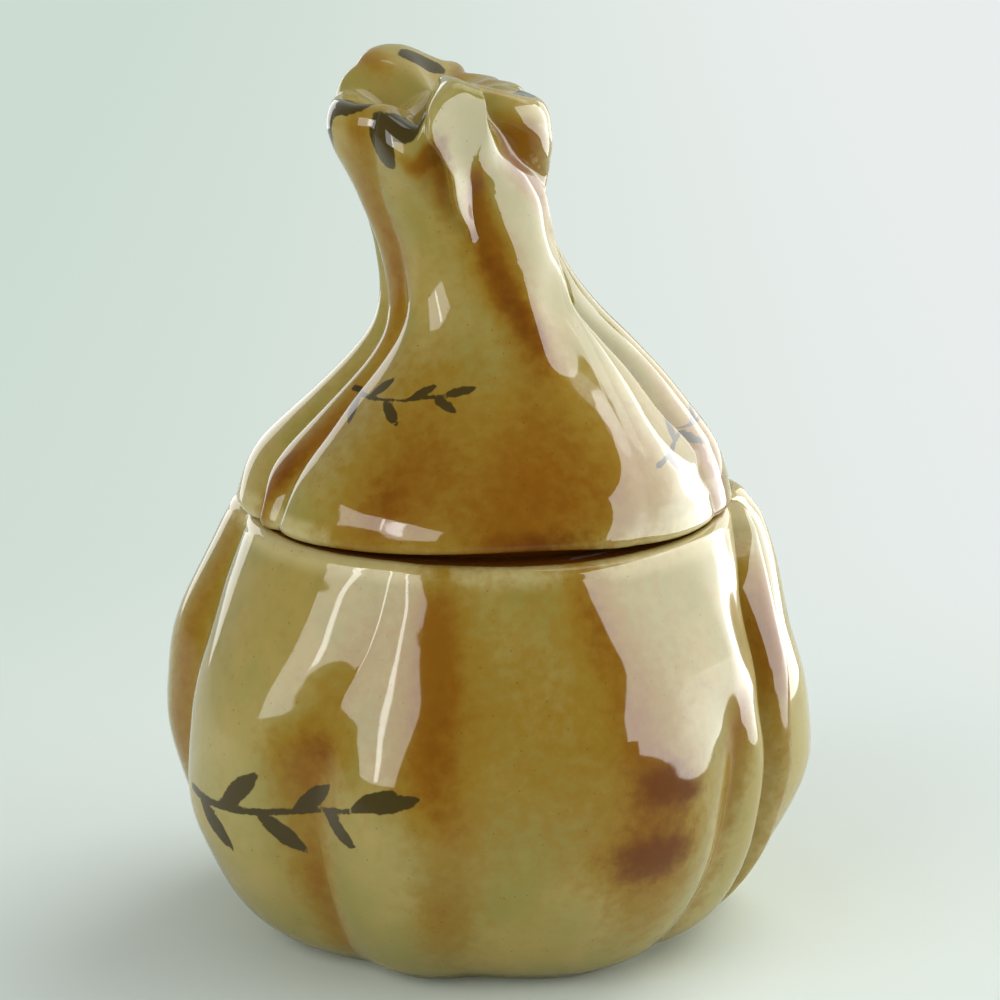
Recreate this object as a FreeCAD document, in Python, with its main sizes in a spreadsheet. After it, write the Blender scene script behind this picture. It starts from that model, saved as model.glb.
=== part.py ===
"""Garlic keeper: a glazed, slip-cast jar in the form of a garlic bulb, as a FreeCAD 1.1 document.

Millimetres, +Z up.  The origin is the centre of the foot, on the surface that the jar stands
on, and the front of the jar looks towards -Y.  Two pieces of pottery make the whole object:
the pot, and the lid that rests on its rim and lifts straight off.
"""
import FreeCAD, Part
import math
import os
from FreeCAD import Vector

doc = FreeCAD.newDocument("garlic_keeper")

# ------------------------------------------------------------------ driving dimensions
# Radii are measured in the grooves between the cloves; the cloves bulge out beyond them.
# Each rise is the height of a level above the level named before it.
SIZES = [
    # the pot, from the ground up
    ("foot_radius", 37.0, "where the pot meets the ground"),
    ("toe_radius", 43.5, "the round turn just above the ground"),
    ("toe_rise", 4.0, "ground to toe"),
    ("heel_radius", 51.0, "where the belly turns in to the foot"),
    ("heel_rise", 10.0, "toe to heel"),
    ("belly_radius", 57.0, "the widest level of the pot"),
    ("belly_rise", 29.0, "heel to belly"),
    ("shoulder_radius", 52.0, "where the belly turns in to the rim"),
    ("shoulder_rise", 29.0, "belly to shoulder"),
    ("rim_radius", 46.0, "outer edge of the flat rim that the lid rests on"),
    ("rim_rise", 14.0, "shoulder to rim"),
    ("lip_round", 2.0, "rounding of the rim's outer edge"),
    ("pot_clove_depth", 7.5, "how far the fullest clove of the pot stands out of its grooves"),
    # the walls and the recess in the foot
    ("wall", 5.0, "thickness of the cast wall, in the grooves"),
    ("floor_thickness", 6.0, "ground to the inside of the floor"),
    ("foot_ring_width", 7.0, "width of the ring that the pot stands on"),
    ("foot_recess", 1.6, "depth of the recess inside that ring"),
    # the mouth and the collar that centres the lid in it
    ("rim_width", 5.0, "width of the flat rim, from its outer edge in to the mouth"),
    ("mouth_depth", 9.0, "height of the straight part of the mouth"),
    ("collar_gap", 1.0, "clearance of the collar in the mouth, all round"),
    ("collar_thickness", 4.0, "thickness of the collar"),
    ("collar_depth", 7.0, "how far the collar reaches down from the rim"),
    # the lid, from the rim up
    ("brim_overhang", 1.4, "how far the lid's edge stands out beyond the pot's rim"),
    ("brim_rise", 2.2, "rim to brim"),
    ("eave_inset", 3.9, "brim in to the eave, where the steep edge eases into the slope"),
    ("eave_rise", 7.8, "brim to eave"),
    ("hip_inset", 6.5, "eave in to the hip, the middle of the lid's slope"),
    ("hip_rise", 8.0, "eave to hip"),
    ("waist_radius", 23.4, "where the slope turns up into the stem"),
    ("waist_rise", 16.0, "hip to waist"),
    ("neck_radius", 15.6, "the narrowest level of the stem"),
    ("neck_rise", 17.0, "waist to neck"),
    ("stem_radius", 19.4, "the flared end of the stem"),
    ("stem_rise", 28.0, "neck to the flared end"),
    ("stem_end_radius", 12.5, "the blunt top of the stem"),
    ("stem_dome", 7.0, "height of the rounded end above the flare"),
    ("lid_clove_depth", 3.6, "how far the fullest clove of the lid stands out of its grooves"),
    ("waist_shift", 1.7, "how far the waist leans along X"),
    ("neck_shift", -4.0, "how far the neck leans along X"),
    ("stem_shift", -9.8, "how far the end of the stem leans along X"),
    ("stem_slant", 12.0, "tilt of the stem's end, highest at its back left, degrees"),
    ("stem_high_side", 156.0, "direction of the highest side of that end, degrees from +X"),
    ("dish_radius", 20.0, "radius of the ball that the dish in the stem's end is cut with"),
    ("dish_depth", 3.2, "depth of that dish"),
    ("hollow_rise", 12.0, "neck to the top of the hollow inside the stem"),
    ("hollow_end_radius", 6.0, "the blunt top of that hollow"),
]

# The cloves, anticlockwise seen from above, starting at the left of the jar.  Each has the
# angle of the groove at its start, in degrees from the front, the lean of that groove from
# bottom to top, in degrees, and its fullness: stops of (share of the height, share of the
# clove depth).
POT_CLOVES = [
    (-112, 0, [(0, 0.15), (0.60, 1.05), (0.93, 0.55), (1, 0.40)]),
    (-78, -4, [(0, 0.40), (0.42, 1.00), (0.93, 0.30), (1, 0.20)]),
    (-31, 14, [(0, 0.35), (0.50, 0.70), (1, 0.15)]),
    (-4, -6, [(0, 0.55), (0.45, 0.85), (1, 0.15)]),
    (47, -4, [(0, 0.25), (0.50, 0.45), (1, 0.25)]),
    (63, 2, [(0, 0.30), (0.45, 0.65), (0.93, 0.60), (1, 0.40)]),
    (79, -2, [(0, 0.55), (0.36, 1.15), (0.70, 0.65), (0.93, 0.95), (1, 0.60)]),
    (120, 0, [(0, 0.40), (0.55, 0.95), (0.93, 0.90), (1, 0.60)]),
    (162, 0, [(0, 0.40), (0.50, 0.85), (0.93, 0.60), (1, 0.40)]),
    (207, 0, [(0, 0.40), (0.45, 0.90), (0.93, 0.60), (1, 0.40)]),
]
LID_CLOVES = [
    (-106, 0, [(0, 0.70), (0.22, 1.00), (0.45, 0.50), (1, 0.45)]),
    (-74, 0, [(0, 0.70), (0.22, 0.80), (0.45, 0.45), (1, 0.40)]),
    (-54, 10, [(0, 0.70), (0.22, 1.00), (0.45, 0.55), (1, 0.60)]),
    (-16, 22, [(0, 0.35), (0.22, 0.55), (1, 0.60)]),
    (16, 12, [(0, 0.35), (0.22, 1.00), (0.50, 0.60), (1, 0.75)]),
    (72, 18, [(0, 0.70), (0.22, 1.00), (0.50, 0.40), (1, 0.60)]),
    (106, 0, [(0, 0.70), (0.22, 0.90), (0.50, 0.50), (1, 0.60)]),
    (145, 0, [(0, 0.70), (0.22, 1.00), (0.50, 0.60), (1, 0.80)]),
    (185, 0, [(0, 0.70), (0.22, 0.90), (0.50, 0.60), (1, 0.80)]),
    (222, 0, [(0, 0.70), (0.22, 1.00), (0.50, 0.60), (1, 0.70)]),
]
CLOVE_ROUNDNESS = 2.2      # power of a clove's cross-section: 2 is a parabola, more is fuller
CLOVE_POINTS = 7           # points that carry one clove's cross-section
INNER_FULLNESS = 0.6       # the inside of the wall follows the cloves by this share

sheet = doc.addObject("Spreadsheet::Sheet", "Sizes")
for row, (alias, value, meaning) in enumerate(SIZES, start=1):
    sheet.set("A%d" % row, alias)
    sheet.set("B%d" % row, str(value))
    sheet.set("C%d" % row, meaning)
    sheet.setAlias("B%d" % row, alias)
doc.recompute()


def size(alias):
    """The value of a driving dimension, read from the sheet."""
    return float(sheet.get(alias))


# ------------------------------------------------------------------ levels and radii
HEEL_LEVEL = size("toe_rise") + size("heel_rise")
BELLY_LEVEL = HEEL_LEVEL + size("belly_rise")
SHOULDER_LEVEL = BELLY_LEVEL + size("shoulder_rise")
RIM_LEVEL = SHOULDER_LEVEL + size("rim_rise")
BRIM_LEVEL = RIM_LEVEL + size("brim_rise")
EAVE_LEVEL = BRIM_LEVEL + size("eave_rise")
HIP_LEVEL = EAVE_LEVEL + size("hip_rise")
WAIST_LEVEL = HIP_LEVEL + size("waist_rise")
NECK_LEVEL = WAIST_LEVEL + size("neck_rise")
STEM_LEVEL = NECK_LEVEL + size("stem_rise")
MOUTH_RADIUS = size("rim_radius") - size("rim_width")
BRIM_RADIUS = size("rim_radius") + size("brim_overhang")
EAVE_RADIUS = BRIM_RADIUS - size("eave_inset")
HIP_RADIUS = EAVE_RADIUS - size("hip_inset")
MOUTH_EXPRESSION = "Sizes.rim_radius - Sizes.rim_width"
RIM_EXPRESSION = ("Sizes.toe_rise + Sizes.heel_rise + Sizes.belly_rise"
                  " + Sizes.shoulder_rise + Sizes.rim_rise")
STEM_EXPRESSION = (RIM_EXPRESSION + " + Sizes.brim_rise + Sizes.eave_rise + Sizes.hip_rise"
                   " + Sizes.waist_rise + Sizes.neck_rise + Sizes.stem_rise")


# ------------------------------------------------------------------ the lobed form
def smooth_curve(points):
    """A smooth curve through points given as (across, height)."""
    curve = Part.BSplineCurve()
    curve.interpolate([Vector(across, 0, height) for across, height in points])
    return curve


def stations(points, count):
    """Evenly spaced (radius, height) along the smooth curve through the given ones."""
    return [(p.x, p.z) for p in smooth_curve(points).discretize(Number=count)]


def rounded_edge(outer, flat, count=3):
    """(radius, height) on a quarter ellipse from the outer point to the edge of the flat."""
    across, up = outer[0] - flat[0], flat[1] - outer[1]
    turns = [math.pi / 2 * i / count for i in range(1, count + 1)]
    return [(flat[0] + across * math.cos(turn), outer[1] + up * math.sin(turn))
            for turn in turns]


def between(stops, height):
    """The value at a height on a smooth run through (height, value) stops, flat beyond them.

    Each span is a cubic whose slope at a stop is that of the line joining its neighbours.
    """
    if height <= stops[0][0]:
        return stops[0][1]
    if height >= stops[-1][0]:
        return stops[-1][1]
    i = max(k for k in range(len(stops) - 1) if stops[k][0] <= height)
    slopes = []
    for k in (i, i + 1):
        low, high = stops[max(k - 1, 0)], stops[min(k + 1, len(stops) - 1)]
        slopes.append((high[1] - low[1]) / (high[0] - low[0]))
    (low, first), (high, last) = stops[i], stops[i + 1]
    span = high - low
    t = (height - low) / span
    return ((1 + 2 * t) * (1 - t) ** 2 * first + t * (1 - t) ** 2 * span * slopes[0]
            + t * t * (3 - 2 * t) * last - t * t * (1 - t) * span * slopes[1])


def stem_axis(height):
    """Where the axis of the form stands along X: upright in the pot, leaning in the stem."""
    return between([(BRIM_LEVEL, 0.0), (WAIST_LEVEL, size("waist_shift")),
                    (NECK_LEVEL, size("neck_shift")), (STEM_LEVEL, size("stem_shift"))], height)


def slanted(point, height):
    """A point of the stem raised by the slant of its end, which grows from the neck up."""
    grown = between([(NECK_LEVEL, 0.0), (STEM_LEVEL, 1.0)], height)
    side = math.radians(size("stem_high_side"))
    along = (point.x - stem_axis(height)) * math.cos(side) + point.y * math.sin(side)
    point.z += grown * math.tan(math.radians(size("stem_slant"))) * along
    return point


def section(radius, height, cloves, depth, bottom, top):
    """Closed wire around the form at one height: one bulging edge for each clove.

    In each clove t runs from 0 to 1 between its two grooves, and the edge stands
    fullness * depth * (1 - |2t - 1|^CLOVE_ROUNDNESS) outside the groove radius.
    """
    rise = (height - bottom) / (top - bottom)
    edges = []
    for k, (start, lean, fullness) in enumerate(cloves):
        following = cloves[(k + 1) % len(cloves)]
        turn = 360 if k == len(cloves) - 1 else 0
        first = start + lean * (rise - 0.5)
        last = following[0] + following[1] * (rise - 0.5) + turn
        bulge = depth * between(fullness, rise)
        points = []
        for i in range(CLOVE_POINTS):
            t = i / (CLOVE_POINTS - 1)
            angle = math.radians(first + (last - first) * t)
            reach = radius + bulge * (1 - abs(2 * t - 1) ** CLOVE_ROUNDNESS)
            point = Vector(stem_axis(height) + reach * math.sin(angle),
                           -reach * math.cos(angle), height)
            points.append(slanted(point, height))
        edge = Part.BSplineCurve()
        edge.interpolate(points)
        edges.append(edge.toShape())
    return Part.Wire(edges)


def softened(cloves):
    """The cloves as the inside of the wall follows them: shallower, and round at both ends."""
    return [(start, lean, [(0, 0)] + [(share, INNER_FULLNESS * full)
                                      for share, full in fullness[1:-1]] + [(1, 0)])
            for start, lean, fullness in cloves]


def lobed_solid(name, rings, cloves, depth, bottom, top):
    """Solid loft through the sections at the given (radius, height) rings."""
    wires = []
    for i, (radius, height) in enumerate(rings, start=1):
        wire = doc.addObject("Part::Feature", "%s_section_%d" % (name, i))
        wire.Shape = section(radius, height, cloves, depth, bottom, top)
        wires.append(wire)
    loft = doc.addObject("Part::Loft", name)
    loft.Sections = wires
    loft.Solid = True
    loft.Ruled = False
    return loft


def cylinder(name, radius, height, base):
    """Upright cylinder on the jar's axis, its sizes bound to the sheet."""
    shape = doc.addObject("Part::Cylinder", name)
    shape.setExpression("Radius", radius)
    shape.setExpression("Height", height)
    shape.setExpression("Placement.Base.z", base)
    return shape


def cut(name, base, tool):
    """The base with the tool's space taken out."""
    result = doc.addObject("Part::Cut", name)
    result.Base = base
    result.Tool = tool
    return result


def fuse(name, base, tool):
    """The base and the tool as one solid."""
    result = doc.addObject("Part::Fuse", name)
    result.Base = base
    result.Tool = tool
    return result


# ------------------------------------------------------------------ the pot
POT_RING_COUNT = 11
MOUTH_BOTTOM = RIM_LEVEL - size("mouth_depth")


def make_pot():
    """Bulb-shaped pot: lobed outside, cavity, straight mouth and recessed foot."""
    wall = size("wall")
    lip = (size("rim_radius") + size("lip_round"), RIM_LEVEL - size("lip_round"))
    outside = stations([(size("foot_radius"), 0), (size("toe_radius"), size("toe_rise")),
                        (size("heel_radius"), HEEL_LEVEL), (size("belly_radius"), BELLY_LEVEL),
                        (size("shoulder_radius"), SHOULDER_LEVEL), lip], POT_RING_COUNT)
    outside += rounded_edge(lip, (size("rim_radius"), RIM_LEVEL))
    inside = stations([(size("foot_radius") - wall, size("floor_thickness")),
                       (size("heel_radius") - wall, HEEL_LEVEL + wall),
                       (size("belly_radius") - wall, BELLY_LEVEL),
                       (MOUTH_RADIUS, MOUTH_BOTTOM)], POT_RING_COUNT)
    depth = size("pot_clove_depth")
    outer = lobed_solid("pot_outside", outside, POT_CLOVES, depth, 0, RIM_LEVEL)
    cavity = lobed_solid("pot_cavity", inside, softened(POT_CLOVES), depth,
                         size("floor_thickness"), MOUTH_BOTTOM)
    mouth = cylinder("pot_mouth", MOUTH_EXPRESSION, "2 * Sizes.mouth_depth",
                     RIM_EXPRESSION + " - Sizes.mouth_depth")
    recess = cylinder("pot_recess", "Sizes.foot_radius - Sizes.foot_ring_width",
                      "2 * Sizes.foot_recess", "-Sizes.foot_recess")
    hollow = cut("pot_hollow", outer, cavity)
    opened = cut("pot_opened", hollow, mouth)
    return cut("pot", opened, recess)


# ------------------------------------------------------------------ the lid
LID_RING_COUNT = 15


def make_lid():
    """Lid with a leaning, flared stem: hollow, with a collar that centres it in the mouth."""
    wall = size("wall")
    end = (size("stem_end_radius"), STEM_LEVEL + size("stem_dome"))
    brim = (BRIM_RADIUS, BRIM_LEVEL)
    outside = rounded_edge(brim, (size("rim_radius"), RIM_LEVEL))[::-1]
    outside += stations([brim, (EAVE_RADIUS, EAVE_LEVEL), (HIP_RADIUS, HIP_LEVEL),
                         (size("waist_radius"), WAIST_LEVEL), (size("neck_radius"), NECK_LEVEL),
                         (size("stem_radius"), STEM_LEVEL), end], LID_RING_COUNT)
    bore = MOUTH_RADIUS - size("collar_gap") - size("collar_thickness")
    hollow_end = (size("hollow_end_radius"), NECK_LEVEL + size("hollow_rise"))
    inside = stations([(bore, RIM_LEVEL - size("collar_depth") / 2),
                       (HIP_RADIUS - wall, HIP_LEVEL),
                       (size("waist_radius") - wall, WAIST_LEVEL),
                       (size("neck_radius") - wall, NECK_LEVEL), hollow_end], LID_RING_COUNT)
    depth = size("lid_clove_depth")
    outer = lobed_solid("lid_outside", outside, LID_CLOVES, depth, RIM_LEVEL, STEM_LEVEL)
    cavity = lobed_solid("lid_cavity", inside, softened(LID_CLOVES), depth, RIM_LEVEL,
                         hollow_end[1])
    collar = cylinder("lid_collar", MOUTH_EXPRESSION + " - Sizes.collar_gap",
                      "Sizes.collar_depth + Sizes.brim_rise",
                      RIM_EXPRESSION + " - Sizes.collar_depth")
    passage = cylinder("lid_bore",
                       MOUTH_EXPRESSION + " - Sizes.collar_gap - Sizes.collar_thickness",
                       "Sizes.collar_depth", RIM_EXPRESSION + " - 1.5 * Sizes.collar_depth")
    dish = doc.addObject("Part::Sphere", "stem_dish")
    dish.setExpression("Radius", "Sizes.dish_radius")
    # the ball's centre stands square above the middle of the slanted end
    aside = " - (Sizes.dish_radius - Sizes.dish_depth) * sin(Sizes.stem_slant)"
    dish.setExpression("Placement.Base.x",
                       "Sizes.stem_shift" + aside + " * cos(Sizes.stem_high_side)")
    dish.setExpression("Placement.Base.y", "0" + aside + " * sin(Sizes.stem_high_side)")
    dish.setExpression("Placement.Base.z", STEM_EXPRESSION + " + Sizes.stem_dome"
                       " + (Sizes.dish_radius - Sizes.dish_depth) * cos(Sizes.stem_slant)")
    collared = fuse("lid_collared", outer, collar)
    hollow = cut("lid_hollow", collared, cavity)
    opened = cut("lid_opened", hollow, passage)
    return cut("lid", opened, dish)


# ------------------------------------------------------------------ build, test and write
PIECES = {"pot": make_pot(), "lid": make_lid()}
for node, piece in PIECES.items():
    piece.Label = node
doc.recompute()

for item in doc.Objects:
    if "Invalid" in item.State or "Error" in item.State:
        raise RuntimeError("%s failed: %s" % (item.Label, item.State))
for node, piece in PIECES.items():
    shape = piece.Shape
    if shape.isNull() or not shape.isValid() or len(shape.Solids) != 1:
        raise RuntimeError("%s is not one valid solid" % node)

os.makedirs("parts", exist_ok=True)
for node, piece in PIECES.items():
    piece.Shape.exportStep("parts/%s.step" % node)
    box = piece.Shape.BoundBox
    print("%s: volume %.0f mm3, x %.1f to %.1f, y %.1f to %.1f, z %.1f to %.1f" % (
        node, piece.Shape.Volume, box.XMin, box.XMax, box.YMin, box.YMax, box.ZMin, box.ZMax))
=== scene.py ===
"""Garlic keeper: the modelled form and the glazed finish of the pot and its lid.

Two pieces of slip-cast pottery stand in the frame: the pot, and the lid that rests on its rim.
Both are lobed like the cloves of a garlic bulb.  Each piece is one closed surface, worked out on
a grid of columns (around the jar) and rows (along its whole wall, outside and inside).  Both
wear one glaze, and the stage is a pale sweep in soft light.

Heights, radii and depths in the tables are millimetres, and angles are degrees from the front,
growing towards the right.  Places and sizes on the stage are metres.
"""

import math
from types import SimpleNamespace

import bpy
import numpy as np
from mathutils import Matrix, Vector


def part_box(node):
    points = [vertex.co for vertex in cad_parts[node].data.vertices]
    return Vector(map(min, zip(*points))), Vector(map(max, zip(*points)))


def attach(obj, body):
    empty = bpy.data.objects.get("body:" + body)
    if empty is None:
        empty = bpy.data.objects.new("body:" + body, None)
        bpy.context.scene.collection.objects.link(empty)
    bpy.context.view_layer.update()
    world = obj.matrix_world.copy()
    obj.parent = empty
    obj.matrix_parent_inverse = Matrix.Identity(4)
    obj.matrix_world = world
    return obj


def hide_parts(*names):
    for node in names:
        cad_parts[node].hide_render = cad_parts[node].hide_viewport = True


bl_info = {
    "name": "Garlic keeper",
    "version": (1, 0, 0),
    "blender": (4, 5, 0),
    "location": "3D View > Sidebar > Garlic keeper",
    "description": "Builds the glazed pot and lid of a garlic keeper on their frame",
    "category": "Object",
}

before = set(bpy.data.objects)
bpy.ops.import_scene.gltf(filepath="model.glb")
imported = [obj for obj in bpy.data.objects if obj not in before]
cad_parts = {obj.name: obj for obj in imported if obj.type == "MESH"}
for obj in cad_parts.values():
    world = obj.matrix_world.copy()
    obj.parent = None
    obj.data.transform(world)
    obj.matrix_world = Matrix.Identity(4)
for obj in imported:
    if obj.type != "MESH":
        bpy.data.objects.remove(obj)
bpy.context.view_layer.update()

MM = 0.001
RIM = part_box("pot")[1].z / MM    # height of the flat rim that the lid rests on


# ------------------------------------------------------------------ numbers and curves
def to_linear(hex_colour):
    """RGBA in linear light for an sRGB colour written as #rrggbb."""
    parts = [int(hex_colour[i:i + 2], 16) / 255 for i in (1, 3, 5)]
    return [c / 12.92 if c <= 0.04045 else ((c + 0.055) / 1.055) ** 2.4 for c in parts] + [1.0]


def stops(table, x):
    """The value at x on a smooth run through (x, value) stops, flat beyond them.

    Each span is a cubic whose slope at a stop is that of the line joining its neighbours.
    A plain number in place of the stops holds everywhere.
    """
    if not isinstance(table, list):
        return np.full(np.shape(x), float(table))
    xs, ys = np.array(table, float).T
    low = np.maximum(np.arange(len(xs)) - 1, 0)
    high = np.minimum(np.arange(len(xs)) + 1, len(xs) - 1)
    slopes = (ys[high] - ys[low]) / (xs[high] - xs[low])
    x = np.clip(x, xs[0], xs[-1])
    i = np.clip(np.searchsorted(xs, x, side="right") - 1, 0, len(xs) - 2)
    span = xs[i + 1] - xs[i]
    t = (x - xs[i]) / span
    return ((1 + 2 * t) * (1 - t) ** 2 * ys[i] + t * (1 - t) ** 2 * span * slopes[i]
            + t * t * (3 - 2 * t) * ys[i + 1] - t * t * (1 - t) * span * slopes[i + 1])


def smooth_step(x, low, high):
    """0 at low, 1 at high, smooth 3t^2 - 2t^3 between, level beyond.  Low may be the larger."""
    t = np.clip((x - low) / (high - low), 0, 1)
    return t * t * (3 - 2 * t)


def spline(points, count, gather=0.0):
    """(radius, height) points along a natural cubic spline through the given ones.

    The spline runs over chord length; its second slopes solve the usual three-term equations.
    The points are evenly spaced, or closer at both ends by the share gather.
    """
    p = np.array(points, float)
    step = np.hypot(*np.diff(p, axis=0).T)
    at = np.concatenate(([0], np.cumsum(step)))
    n = len(p)
    system, right = np.eye(n), np.zeros((n, 2))
    k = np.arange(1, n - 1)
    system[k, k - 1], system[k, k + 1] = step[:-1], step[1:]
    system[k, k] = 2 * (step[:-1] + step[1:])
    slope = np.diff(p, axis=0) / step[:, None]
    right[1:-1] = 6 * np.diff(slope, axis=0)
    bend = np.linalg.solve(system, right)
    s = np.linspace(0, at[-1], 60 * n)
    i = np.clip(np.searchsorted(at, s, side="right") - 1, 0, n - 2)
    h, a, b = step[i, None], (at[i + 1] - s)[:, None], (s - at[i])[:, None]
    fine = ((bend[i] * a ** 3 + bend[i + 1] * b ** 3) / (6 * h)
            + (p[i] / h - bend[i] * h / 6) * a + (p[i + 1] / h - bend[i + 1] * h / 6) * b)
    run = np.concatenate(([0], np.cumsum(np.hypot(*np.diff(fine, axis=0).T))))
    share = np.linspace(0, 1, count)
    wanted = (share - gather * np.sin(2 * math.pi * share) / (2 * math.pi)) * run[-1]
    return np.stack([np.interp(wanted, run, fine[:, axis]) for axis in (0, 1)], 1)


def straight(start, end, count):
    """Evenly spaced (radius, height) points from start to end."""
    return np.linspace(start, end, count)


def bend_round(before, corner, after, radius, count=5):
    """Points on a rounding of the corner between two straight runs.

    A quadratic arc that leaves each run at the given distance from the corner.
    """
    before, corner, after = (np.array(p, float) for p in (before, corner, after))
    first = corner + (before - corner) / np.linalg.norm(before - corner) * radius
    last = corner + (after - corner) / np.linalg.norm(after - corner) * radius
    t = np.linspace(0, 1, count)[:, None]
    return (1 - t) ** 2 * first + 2 * t * (1 - t) * corner + t * t * last


# ------------------------------------------------------------------ what a user would change
def length(name, description, value):
    """A length property, its default given in millimetres."""
    return bpy.props.FloatProperty(name=name, description=description, default=value * MM,
                                   unit="LENGTH", precision=4, step=0.1)


def colour(name, description, hex_colour):
    """A colour property, its default given as sRGB hex."""
    return bpy.props.FloatVectorProperty(name=name, description=description, subtype="COLOR",
                                         size=4, min=0, max=1, default=to_linear(hex_colour))


def factor(name, description, value, top=1.0):
    """A plain number property from 0 to its top."""
    return bpy.props.FloatProperty(name=name, description=description, default=value,
                                   subtype="FACTOR", min=0, max=top)


class PotForm(bpy.types.PropertyGroup):
    """Radii and heights of the pot, measured in the grooves between its cloves."""
    foot_radius: length("Foot", "Where the pot meets the ground", 37.0)
    toe_radius: length("Toe", "Round turn just above the ground", 43.5)
    toe_level: length("Toe height", "Height of the toe", 4.0)
    heel_radius: length("Heel", "Where the belly turns in to the foot", 51.0)
    heel_level: length("Heel height", "Height of the heel", 14.0)
    belly_radius: length("Belly", "Widest level of the pot", 57.0)
    belly_level: length("Belly height", "Height of the belly", 43.0)
    shoulder_radius: length("Shoulder", "Where the belly turns in to the rim", 52.0)
    shoulder_level: length("Shoulder height", "Height of the shoulder", 72.0)
    rim_radius: length("Rim", "Outer edge of the flat rim", 46.0)
    rim_level: length("Rim height", "Height of the flat rim", RIM)
    lip_round: length("Lip rounding", "Rounding of the rim's outer edge", 2.0)
    mouth_radius: length("Mouth", "Bore of the mouth", 41.0)
    mouth_depth: length("Mouth depth", "Height of the straight part of the mouth", 9.0)
    wall: length("Wall", "Thickness of the cast wall", 5.0)
    floor_level: length("Floor", "Height of the inside of the floor", 6.0)
    ring_radius: length("Foot ring", "Inner radius of the ring that the pot stands on", 30.0)
    recess: length("Foot recess", "Depth of the recess inside the foot ring", 1.6)


class LidForm(bpy.types.PropertyGroup):
    """Radii and heights of the lid, measured in the grooves between its cloves."""
    seat_radius: length("Seat", "Outer edge of the flat that rests on the rim", 45.8)
    brim_radius: length("Brim", "Widest level of the lid", 46.8)
    brim_rise: length("Brim height", "Rim of the pot to the brim", 1.6)
    eave_radius: length("Eave", "Where the steep edge eases into the slope", 43.5)
    eave_rise: length("Eave height", "Rim of the pot to the eave", 10.0)
    hip_radius: length("Hip", "Middle of the slope", 37.0)
    hip_rise: length("Hip height", "Rim of the pot to the hip", 18.0)
    waist_radius: length("Waist", "Where the slope turns up into the stem", 23.4)
    waist_rise: length("Waist height", "Rim of the pot to the waist", 34.0)
    neck_radius: length("Neck", "Narrowest level of the stem", 16.8)
    neck_rise: length("Neck height", "Rim of the pot to the neck", 49.0)
    stem_radius: length("Stem end", "Flared end of the stem", 19.0)
    stem_rise: length("Stem end height", "Rim of the pot to the flared end", 75.0)
    collar_radius: length("Collar", "Outer radius of the collar", 40.0)
    collar_wall: length("Collar wall", "Thickness of the collar", 4.0)
    collar_depth: length("Collar depth", "How far the collar reaches down from the rim", 7.0)
    wall: length("Wall", "Thickness of the cast wall", 5.0)
    hollow_rise: length("Hollow", "Neck to the top of the hollow in the stem", 12.0)
    front_gap: length("Front gap", "How far the warped lid stands off the rim at the front", 2.4)


class GlazeFinish(bpy.types.PropertyGroup):
    """Colours and gloss of the glaze and of what is painted under it."""
    body: colour("Glaze", "Clear honey glaze over the cream slip", "#a8934f")
    # also painted light: the far cloves at the pot's right are painted in this paler tone
    pale: colour("Thin glaze", "Where the glaze runs thin over edges and crests", "#c2b27a")
    green: colour("Thick glaze", "Where the glaze pools", "#968b45")
    golden: colour("Golden stain", "Thin mist of sprayed stain", "#98782a")
    brown: colour("Airbrushed brown", "Stain sprayed into the grooves", "#8a5a14")
    # brown of the densest stain, also the painted shade on the flat where the lid meets the rim
    burnt_and_gap_shade: colour("Burnt brown", "Stain where it is densest", "#6e3d0e")
    ink: colour("Brush strokes", "Dark underglaze of the brushed motifs", "#43381c")
    clay: colour("Bare clay", "Unglazed ring under the foot", "#c9b692")
    gloss: factor("Roughness", "Roughness of the fired glaze", 0.055)


class StageLight(bpy.types.PropertyGroup):
    """Light and backdrop around the jar."""
    backdrop: colour("Backdrop", "Pale sweep, as it lights and is mirrored", "#dfe9e3")
    # painted shade and light: the backdrop in view is darker and greener at the left, lighter at the
    # right, as the light falls across it
    shaded_left_tone: colour("Backdrop, left", "Its tone in view, at the left", "#cddcd2")
    lit_right_tone: colour("Backdrop, right", "Its tone in view, at the right", "#e9eeec")
    fill: factor("Fill", "Level of the even light from all sides", 0.34, 4)
    window: factor("Window", "Radiance of the window that the glaze mirrors at the left", 4.0, 40)
    panel: factor("Panel", "Radiance of the panel that the glaze mirrors at the right", 5.3, 40)
    loft: factor("Loft", "Radiance of the skylight that the lid's slope mirrors", 1.6, 40)
    far_right: factor("Far right", "Radiance of the pale wall behind at the right", 2.0, 40)
    far_left: factor("Far left", "Radiance of the pale wall behind at the left", 1.8, 40)
    sweep: factor("Sweep light", "Radiance of the lamp over the backdrop", 1.2, 40)
    key: factor("Key", "Soft light from behind at the right, as the level that it gives", 0.6, 4)
    left: factor("Left light", "Soft light from the front left, as the level that it gives", 0.5, 4)
    right: factor("Right light", "Soft low light from the right, as the level that it gives", 0.7, 4)


GROUPS = {"keeper_pot": PotForm, "keeper_lid": LidForm, "keeper_glaze": GlazeFinish,
          "keeper_stage": StageLight}


def in_mm(group):
    """The lengths of a property group as plain millimetres, by name."""
    return SimpleNamespace(**{name: getattr(group, name) / MM for name in group.__annotations__})


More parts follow.
